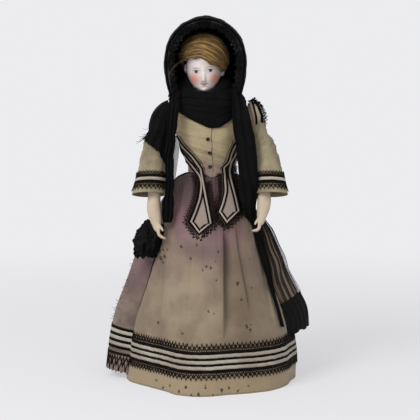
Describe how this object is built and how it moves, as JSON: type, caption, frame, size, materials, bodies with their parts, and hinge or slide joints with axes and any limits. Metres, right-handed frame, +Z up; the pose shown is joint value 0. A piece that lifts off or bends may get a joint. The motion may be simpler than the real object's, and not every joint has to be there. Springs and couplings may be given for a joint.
{
  "type": "shoulder head doll",
  "caption": "Standing lady doll with a bisque shoulder head, stuffed cloth body and bisque limbs, in a trimmed silk jacket and trained skirt with a black hooded scarf.",
  "frame": {"origin": "on the floor, under the middle of the doll's footprint", "axes": "+Z up, the doll faces -Y, its own left is +X"},
  "size_m": [0.2398, 0.235, 0.42],
  "materials": {
    "bisque": "unglazed tinted porcelain with painted features",
    "cork": "cut cork",
    "mohair": "combed mohair",
    "muslin": "aged plain cotton",
    "thread": "linen thread",
    "dress_silk": "faded silk with a soft sheen",
    "velvet_ribbon": "black velvet ribbon",
    "black_lace": "black bobbin lace",
    "black_silk": "black silk gauze in layers",
    "black_net": "black cotton net",
    "horn": "dark polished buttons"
  },
  "bodies": {
    "root": {"shoulder_head": "bisque", "cork_pate": "cork", "wig": "mohair", "torso": "muslin", "petticoat": "muslin", "skirt_waistband": "dress_silk", "skirt": "dress_silk", "skirt_lace_lower": "black_lace", "skirt_ribbon_1": "velvet_ribbon", "skirt_ribbon_2": "velvet_ribbon", "skirt_ribbon_3": "velvet_ribbon", "skirt_ribbon_4": "velvet_ribbon", "skirt_lace_upper": "black_lace", "overskirt": "dress_silk", "overskirt_lace": "black_lace", "bodice": "dress_silk", "button_1": "horn", "button_2": "horn", "button_3": "horn", "right_tab": "dress_silk", "left_tab": "dress_silk", "right_tab_lace": "black_lace", "left_tab_lace": "black_lace", "neck_wrap": "black_silk", "hood": "black_silk", "hood_lace": "black_lace", "right_scarf_tail": "black_silk", "left_scarf_tail": "black_silk", "right_scarf_bow": "black_silk", "left_net_panel": "black_net", "left_net_border": "black_silk"},
    "right_arm": {"right_upper_arm": "muslin", "right_forearm": "bisque", "right_arm_binding": "thread", "right_sleeve": "dress_silk", "right_sleeve_lace_lower": "black_lace", "right_sleeve_ribbon_lower": "velvet_ribbon", "right_sleeve_trim_upper": "black_lace", "right_epaulette": "dress_silk", "right_shoulder_drape": "black_silk"},
    "left_arm": {"left_upper_arm": "muslin", "left_forearm": "bisque", "left_arm_binding": "thread", "left_sleeve": "dress_silk", "left_sleeve_lace_lower": "black_lace", "left_sleeve_ribbon_lower": "velvet_ribbon", "left_sleeve_trim_upper": "black_lace", "left_epaulette": "dress_silk"},
    "right_leg": {"right_thigh": "muslin", "right_lower_leg": "bisque", "right_leg_binding": "thread"},
    "left_leg": {"left_thigh": "muslin", "left_lower_leg": "bisque", "left_leg_binding": "thread"}
  },
  "joints": [
    {"name": "right_shoulder", "type": "hinge", "parent": "root", "child": "right_arm", "pos_m": [-0.04384, -0.01252, 0.305], "axis": [-1, 0, 0], "range_deg": [0, 70]},
    {"name": "left_shoulder", "type": "hinge", "parent": "root", "child": "left_arm", "pos_m": [0.04916, -0.01252, 0.305], "axis": [-1, 0, 0], "range_deg": [0, 70]},
    {"name": "right_hip", "type": "hinge", "parent": "root", "child": "right_leg", "pos_m": [-0.01586, -0.01252, 0.176], "axis": [-1, 0, 0], "range_deg": [-12, 14]},
    {"name": "left_hip", "type": "hinge", "parent": "root", "child": "left_leg", "pos_m": [0.01614, -0.01252, 0.176], "axis": [-1, 0, 0], "range_deg": [-12, 14]}
  ]
}
